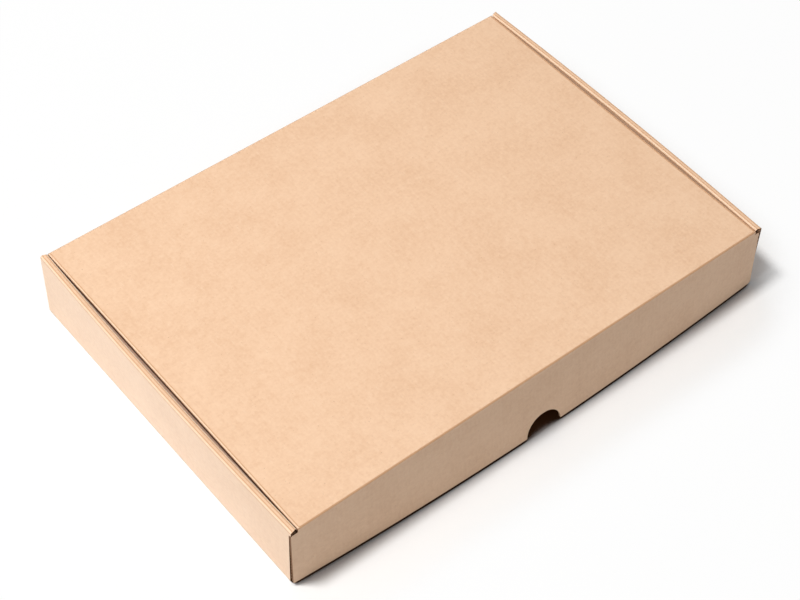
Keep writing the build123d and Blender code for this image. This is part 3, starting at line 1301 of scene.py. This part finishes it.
@dataclass
class Tray:
    """Base, end walls, corner flaps and rolled side walls with locking tabs.

    Attributes:
        lean: How far the side walls lean out at the middle of their top.
        straight_end: Distance from the middle at which they stand upright.
        joint: Distance from the middle at which the base sheet meets a side sheet.
        base_lap: Share of a fold's radius, past its start, that is cut like the base.
        hem_taper: How far the hem's ends are cut back at its inner side.
        hem_nose: How far the hem's front end stands in front of the front wall.
        nose_rise: Length over which that nose steps out.
        nose_foot: Height of the nose's foot at the left and at the right wall.
        flap_length: Length of the corner flaps.
        flap_taper: How much lower they are at their tips.
        flap_line_gap: Furthest that the lines up a corner flap may be apart.
        tab_half: Half of a locking tab's width.
        tab_at: Distance from the middle to a tab's middle.
        tab_recess: Height of a tab's end above the floor.
        tab_gap: Play of a tab in its slot.
        patterns: Where the patterns of the base, the sides and the corner flaps start.
    """

    lean: float = 2.1 * MM
    straight_end: float = 134 * MM
    joint: float = 185 * MM
    base_lap: float = 0.9
    hem_taper: float = 1.2 * MM
    hem_nose: float = 2 * MM
    nose_rise: float = 0.3 * MM
    nose_foot: tuple = (53.2 * MM, 1.6 * MM)
    flap_length: float = 70 * MM
    flap_taper: float = 6 * MM
    flap_line_gap: float = 10 * MM
    tab_half: float = 22 * MM
    tab_at: float = 65 * MM
    tab_recess: float = 0.3 * MM
    tab_gap: float = 0.3 * MM
    patterns: tuple = (7.3, 11.0, 17.0)

    @property
    def foot(self) -> float:
        """Height at which the inner layers stand on the base."""
        return BOARD.thickness + BOX.ply_gap

    def _leaning(self, points: Array) -> Array:
        """Pushes points outwards where the side walls bow.

        Args:
            points: Points of a right side wall that stands upright.

        Returns:
            The points of the leaning wall.
        """
        y = points[..., 1]
        bow = np.clip(1 - (y / self.straight_end) ** 2, 0, None)
        out = points.copy()
        out[..., 0] += self.lean * bow * points[..., 2] / BOX.height
        return out

    def base(self, pile: BoardPile) -> None:
        """Adds the base with the front wall and the back wall.

        Args:
            pile: Where the sheet goes.
        """
        front, back, lid_top = BOX.front_face, BOX.half_depth, BOX.lid_top
        fold = Fold([(front, BOX.wall_top), (front, 0), (back, 0), (back, lid_top),
                     (back - 2 * BOARD.fold, lid_top)], side=-1)
        crease_end = fold.folds[-1] - CREASE.reach
        floor = (fold.bends[0][1], fold.bends[1][0])
        inner_end = BOX.wall_end - BOARD.fold
        notch_front = BOX.wall_top - BOX.notched_top
        back_rise = fold.bends[1][1] + (BOX.notched_top - BOARD.fold)
        lower = fold.bends[0][1] - (self.foot + BOARD.fold * (pi / 2 - 1))
        upper = fold.bends[1][1] + self.foot - BOARD.fold

        def place(across: Array, along: Array, depth: Array) -> Array:
            """Point of the front wall, the base or the back wall."""
            spot = fold.under(along, depth)
            return np.stack([across + 0 * along, spot[..., 0], spot[..., 1]], -1)

        def ends(across: Array) -> Span:
            """Ends at the wall's top and the lid's crease, lower beside the hems."""
            outside = np.abs(across) > BOX.lid_half + TOUCH
            low = np.where(outside, notch_front, 0.0)
            return low, np.where(outside, back_rise, crease_end)

        def hole(across: Array, along: Array) -> Array:
            """Place of the side sheets' own strips and of their rounded folds."""
            wide = np.abs(across)
            strip = (wide > self.joint) & (along > floor[0]) & (along < floor[1])
            bend = (wide > inner_end) & ((along < lower) | (along > upper))
            return strip | bend

        marks = [0.0]
        for side in (-1, 1):
            marks += [side * m for m in (self.joint, inner_end, BOX.wall_end)]
            marks += [side * BOX.lid_half, side * (BOX.lid_half + STEP)]
        along_marks = [m for m in fold.marks if m < crease_end]
        along_marks += [notch_front, back_rise, crease_end, lower, upper]
        sheet = Sheet(
            place,
            lines_between(*marks),
            lines_between(*along_marks),
            ends,
            lambda _, along: fold.crush(along),
            lambda _, along: fold.wear_and_painted_light(along),
            hole,
            origin=self.patterns[0],
        )
        sheet.liners(pile)
        sheet.end_core(pile, (-BOX.lid_half, BOX.lid_half), 0)

    def side(self, pile: BoardPile, hand: int) -> None:
        """Adds a side wall with its hem, inner layer and tabs.

        Args:
            pile: Where the sheet goes.
            hand: 1 for the right wall, -1 for the left.
        """
        half, height, inner = BOX.half_length, BOX.height, BOX.hem_inner
        corners = [(self.joint, 0), (half, 0), (half, height), (inner, height),
                   (inner, self.tab_recess)]
        fold = Fold(corners, side=-1)
        total = fold.length[-1]
        tab_from = total - (self.foot - self.tab_recess)
        slope = self.hem_taper / (BOX.wall_end - inner)
        base_end = fold.bends[0][0] + BOARD.fold * self.base_lap
        nose_from = fold.bends[0][1] + self.nose_foot[hand > 0] - BOARD.fold
        slot = (inner - self.tab_gap - self.joint,
                inner + BOARD.thickness + self.tab_gap - self.joint)

        def place(across: Array, along: Array, depth: Array) -> Array:
            """Point of the rolled wall, leant out and set on its own side."""
            x, z = np.moveaxis(fold.under(across, depth), -1, 0)
            leant = self._leaning(np.stack([x, along + 0 * x, z], -1))
            return leant * np.array([hand, 1, 1])

        def ends(across: Array) -> Span:
            """Ends cut back over the hem and the inner layer, with the front nose."""
            point, normal = fold.at(across)
            x = point[..., 0] - BOARD.half * normal[..., 0]
            cut = np.clip(slope * (BOX.wall_end - x), 0, self.hem_taper)
            cut = np.where(across > fold.bends[1][0], cut, 0)
            on_ply = across > fold.bends[2][1]
            cut = np.where(on_ply, np.maximum(cut, self.foot), cut)
            cut = np.where(across < base_end, BOARD.fold, cut)
            on_nose = (across > nose_from) & (across < fold.bends[2][1] + TOUCH)
            nose = np.where(on_nose, self.hem_nose, 0)
            return BOX.front_face + cut - nose, BOX.half_depth - cut

        def hole(across: Array, along: Array) -> Array:
            """Room beside the tabs, and their slots in the base."""
            off_tab = np.abs(np.abs(along) - self.tab_at)
            below = (across > tab_from) & (off_tab > self.tab_half)
            in_slot = (across > slot[0]) & (across < slot[1])
            return below | (in_slot & (off_tab < self.tab_half + self.tab_gap))

        marks = list(fold.marks) + [tab_from, *slot, nose_from, nose_from + self.nose_rise]
        marks += [base_end - STEP, base_end, fold.bends[2][1] + STEP]
        tab_marks = [
            sign * (self.tab_at + other * reach)
            for sign in (-1, 1)
            for other in (-1, 1)
            for reach in (self.tab_half, self.tab_half + self.tab_gap)
        ]
        sheet = Sheet(
            place,
            lines_between(*marks),
            lines_between(*tab_marks, -self.straight_end, self.straight_end,
                          BOX.front_face - self.hem_nose, BOX.half_depth),
            ends,
            lambda across, _: fold.crush(across),
            lambda across, _: fold.wear_and_painted_light(across),
            hole,
            origin=self.patterns[1] + hand,
        )
        sheet.liners(pile)
        for end in (0, 1):
            sheet.end_core(pile, (fold.bends[0][0], tab_from), end)

    def corner_flap(self, pile: BoardPile, hand: int, back: bool) -> None:
        """Adds a corner flap that is trapped inside a side wall.

        Args:
            pile: Where the sheet goes.
            hand: 1 for the right wall, -1 for the left.
            back: Whether it comes from the back wall.
        """
        face = BOX.half_depth if back else -BOX.front_face
        facing = 1 if back else -1
        start = BOX.wall_end - BOARD.fold
        tip = face - self.flap_length
        fold = Fold([(start, -face), (BOX.wall_end, -face), (BOX.wall_end, -tip)], side=-1)
        total = fold.length[-1]
        bend_end = fold.bends[0][1]

        def place(across: Array, along: Array, depth: Array) -> Array:
            """Point of the flap, leant out with its side wall."""
            x, y = np.moveaxis(fold.under(across, depth), -1, 0)
            leant = self._leaning(np.stack([x, y, along + 0 * x], -1))
            return leant * np.array([hand, -facing, 1])

        def ends(across: Array) -> Span:
            """Ends on the base and under the hem, lower towards the tip."""
            past = np.clip((across - bend_end) / (total - bend_end), 0, 1)
            return np.full_like(across, self.foot), BOX.notched_top - self.flap_taper * past

        sheet = Sheet(
            place,
            lines_between(*fold.marks),
            lines_between(self.foot, BOX.notched_top, step=self.flap_line_gap),
            ends,
            lambda across, _: fold.crush(across),
            lambda across, _: fold.wear_and_painted_light(across),
            origin=self.patterns[2] + hand + 3 * facing,
        )
        sheet.liners(pile)
        sheet.end_core(pile, (0.0, total), 1)

    def build(self, finishes: Sequence[bpy.types.Material]) -> bpy.types.Object:
        """Makes the tray.

        Args:
            finishes: Materials in the order of Finish.

        Returns:
            The tray's piece.
        """
        pile = BoardPile()
        self.base(pile)
        for hand in (-1, 1):
            self.side(pile, hand)
            for back in (False, True):
                self.corner_flap(pile, hand, back)
        return pile.build("tray_board", finishes)


@dataclass(frozen=True)
class CreaseStrip:
    """Strip of crushed board that bends between two sheets.

    Attributes:
        name: Name of the piece.
        facing: 1 for the crease at the back, -1 for the one at the front.
        bodies: Body that it leaves and body that it reaches.
        band_share: Part of the bending band that has lines of its own.
        pattern: Where the strip's pattern starts.
    """

    name: str
    facing: int
    bodies: tuple[str, str]
    band_share: float = 0.9
    pattern: float = 23.0

    def build(self, finishes: Sequence[bpy.types.Material]) -> bpy.types.Object:
        """Makes the strip.

        Args:
            finishes: Materials in the order of Finish.

        Returns:
            The strip's piece.
        """
        left = float(crushed_at(0.0))
        towards_lid = np.array([0.0, -self.facing, 1.0]) / sqrt(2)
        outwards = np.array([0.0, self.facing, 1.0]) / sqrt(2)
        centre = np.array([0.0, self.facing * CREASE.flat, BOX.lid_top - BOARD.fold])

        def place(across: Array, along: Array, depth: Array) -> Array:
            """Point of the strip, whose two rims lie in the faces of the parting."""
            radius = BOARD.fold - depth * left
            rim = np.where(np.abs(along) > 1 - TOUCH, radius * sin(CREASE.half_turn), 0.0)
            off = np.where(rim > 0, rim, CREASE.band * np.abs(along)) * np.sign(along)
            height = np.sqrt(np.clip(radius**2 - off**2, 0, None))
            spot = centre + off[..., None] * towards_lid + height[..., None] * outwards
            spot[..., 0] += across
            return spot

        across = np.linspace(-BOX.lid_half, BOX.lid_half, 2)
        inner = np.linspace(-self.band_share, self.band_share, CREASE.steps)
        along = np.concatenate([[-1.0], inner, [1.0]])
        rows = np.repeat(along[None, :], 2, 0)
        pile = BoardPile()
        keep = np.ones((1, len(along) - 1), bool)
        depths = (np.zeros_like(rows), np.full_like(rows, BOARD.thickness))
        # The crease's brown: crushed liner with painted shade
        wear_and_painted_light = np.full_like(rows, CREASE.shown)
        pile.slab(across, rows, place, depths, keep, Finish.LINER, self.pattern, wear_and_painted_light)
        strip = pile.build(self.name, finishes)
        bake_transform(strip)
        return strip


def shown_rays(n: Nodes) -> Channel:
    """Finds the rays that show the background.

    Args:
        n: Maker of the nodes.

    Returns:
        The channel that is 1 for rays that are seen, mirrored or passed through.
    """
    names = ("Is Camera Ray", "Is Glossy Ray", "Is Transmission Ray")
    seen, glossy, through = (n.add("ShaderNodeLightPath", output=name) for name in names)
    return (seen + glossy + through).clamped()


@dataclass(frozen=True)
class StudioFloor:
    """Plain white sweep that keeps the box's soft shadow, plus painted shadow close to the box.

    Attributes:
        size: Length of the floor's sides.
        seen: Colour in the open.
        bounced: Colour that the light under and around the box comes from.
        painted_contact_shadow: Painted shadow where the box all but touches the floor.
        contact_sky: Open share of the sky over which that colour fades out.
        painted_shade_colour: Colour of the painted soft shadow around it.
        shaded_sky: Open share of the sky over which the shade fades out.
        shaded_share: Strength of that painted shade.
        sky_reach: Distance up to which something covers the sky.
        sky_samples: Number of rays that look for it.
        clear_left: Place on X up to which the floor has neither painted shadow.
        glow: Share of plain white in the open.
        glow_sky: Open share of the sky over which the white comes in.
    """

    size: float = 30.0
    seen: tuple = (0.98, 0.99, 1.0, 1.0)
    bounced: tuple = (0.8, 0.8, 0.8, 1.0)
    painted_contact_shadow: tuple = linear(80, 54, 36)
    contact_sky: tuple = (0.47, 0.58)
    painted_shade_colour: tuple = linear(150, 148, 156)
    shaded_sky: tuple = (0.5, 0.72)
    shaded_share: float = 0.35
    sky_reach: float = 70 * MM
    sky_samples: int = 24
    clear_left: float = -199 * MM
    glow: float = 0.9
    glow_sky: tuple = (0.8, 0.94)

    def build(self) -> bpy.types.Object:
        """Makes the floor and its material.

        Returns:
            The floor, marked as stage.
        """
        half = self.size / 2
        mesh = bpy.data.meshes.new("floor")
        mesh.from_pydata(
            [(-half, -half, 0), (half, -half, 0), (half, half, 0), (-half, half, 0)],
            [],
            [(0, 1, 2, 3)],
        )
        floor = bpy.data.objects.new("floor", mesh)
        bpy.context.scene.collection.objects.link(floor)
        made, n = new_material("floor_white")
        settings = {"samples": self.sky_samples}
        reach = {"Distance": self.sky_reach}
        open_sky = n.add("ShaderNodeAmbientOcclusion", settings, reach, output="AO")
        place = n.add("ShaderNodeNewGeometry", output="Position")
        across = n.add("ShaderNodeSeparateXYZ", inputs={"Vector": place}, output="X")
        # Painted shadows: dark contact colour and grey soft shade where the sky is half covered,
        # off the lit left
        beside = across.ramp(self.clear_left - MM, self.clear_left)
        painted_contact_mask = (1 - open_sky.ramp(*self.contact_sky)) * beside
        shade = (1 - open_sky.ramp(*self.shaded_sky)) * beside * self.shaded_share
        seen = n.mix(painted_contact_mask, n.mix(shade, self.seen, self.painted_shade_colour), self.painted_contact_shadow)
        shown = shown_rays(n)
        colour = n.mix(shown, self.bounced, seen)
        matt = n.add("ShaderNodeBsdfDiffuse", inputs={"Color": colour})
        white = n.add("ShaderNodeEmission", inputs={"Color": WHITE, "Strength": 1.0})
        share = shown * open_sky.ramp(*self.glow_sky) * self.glow
        surface = n.add("ShaderNodeMixShader", inputs={0: share, 1: matt, 2: white})
        n.add("ShaderNodeOutputMaterial", inputs={"Surface": surface})
        mesh.materials.append(made)
        return floor


@dataclass(frozen=True)
class Lamp:
    """Round area lamp that faces the origin.

    Attributes:
        name: Name of the lamp.
        strength: Irradiance at the origin.
        towards: Direction of the lamp from the origin.
        distance: Distance of the lamp from the origin.
        size: Diameter of the lamp.
        colour: Colour of its light.
    """

    name: str
    strength: float
    towards: tuple
    distance: float
    size: float
    colour: tuple

    def build(self) -> None:
        """Adds the lamp to the scene."""
        data = bpy.data.lights.new(self.name, "AREA")
        data.shape = "DISK"
        data.size = self.size
        data.energy = self.strength * pi * self.distance**2
        data.color = self.colour
        lamp = bpy.data.objects.new(self.name, data)
        course = Vector(self.towards).normalized()
        lamp.location = course * self.distance
        lamp.rotation_euler = course.to_track_quat("Z", "Y").to_euler()
        bpy.context.scene.collection.objects.link(lamp)


@dataclass(frozen=True)
class StudioLight:
    """Soft sky from every side, a key light above and a low fill at the left.

    Attributes:
        sky: Strength of the sky as a light; it is seen as plain white.
        key: Warm lamp above, a little behind and to the left.
        fill: Wide and cooler lamp low at the left.
    """

    sky: float = 0.28
    key: Lamp = Lamp("key", 2.25, (-0.36, 0.13, 1.0), 2.2, 0.37, (1.0, 0.985, 0.96))
    fill: Lamp = Lamp("fill", 0.5, (-1.0, 0.1, 0.22), 2.0, 1.2, (0.93, 0.97, 1.0))

    def build(self) -> None:
        """Sets the world and adds the two lamps."""
        world = bpy.data.worlds.new("studio")
        bpy.context.scene.world = world
        world.use_nodes = True
        n = Nodes(world.node_tree)
        strength = self.sky + shown_rays(n) * (1 - self.sky)
        sky = n.add("ShaderNodeBackground", inputs={"Color": WHITE, "Strength": strength})
        n.add("ShaderNodeOutputWorld", inputs={"Surface": sky})
        self.key.build()
        self.fill.build()


@dataclass(frozen=True)
class StudioCamera:
    """Camera at the photograph's viewing angle.

    Attributes:
        place: Where the camera stands.
        aim: Point that it looks at.
        roll: Turn about its line of sight.
        focal_px: Focal length in pixels of the picture.
        image_width: Width of the picture in pixels.
        sensor: Width of the sensor in millimetres.
        near: Closest distance that it sees.
    """

    place: tuple = (-0.5608, -0.6480, 1.0156)
    aim: tuple = (-0.0042, -0.0014, 0.0)
    roll: float = radians(2.26)
    focal_px: float = 1915.8
    image_width: int = 800
    sensor: float = 36.0
    near: float = 0.05

    def build(self) -> bpy.types.Object:
        """Adds the camera and makes it the scene's own.

        Returns:
            The camera.
        """
        data = bpy.data.cameras.new("camera")
        data.sensor_width = self.sensor
        data.lens = self.focal_px / self.image_width * self.sensor
        data.dof.use_dof = False
        data.clip_start = self.near
        camera = bpy.data.objects.new("camera", data)
        look = Vector(self.aim) - Vector(self.place)
        turn = look.to_track_quat("-Z", "Y").to_matrix() @ Matrix.Rotation(self.roll, 3, "Z")
        camera.matrix_world = Matrix.Translation(self.place) @ turn.to_4x4()
        bpy.context.scene.collection.objects.link(camera)
        bpy.context.scene.camera = camera
        return camera


def main() -> None:
    """Dresses the box, then sets the floor, the lights and the camera."""
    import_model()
    StudioCamera().build()
    StudioLight().build()
    StudioFloor().build()
    finishes = [KraftLiner().material(), CUT_EDGE.material(), FLUTED_CORE.material()]
    boards = {"tray": Tray(), "lid": Lid(), "front_flap": FrontFlap()}
    for node, board in boards.items():
        piece = board.build(finishes)
        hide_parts(node)
        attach(piece, node)
        LOG.info("%s: %d faces", piece.name, len(piece.data.polygons))
    strips = (
        CreaseStrip("lid_crease", 1, ("tray", "lid")),
        CreaseStrip("flap_crease", -1, ("lid", "front_flap")),
    )
    for strip in strips:
        LOG.info("%s: bends between %s and %s", strip.build(finishes).name, *strip.bodies)
    bpy.context.scene.view_settings.view_transform = "Standard"


if __name__ == "__main__":
    logging.basicConfig(level=logging.INFO)
    main()
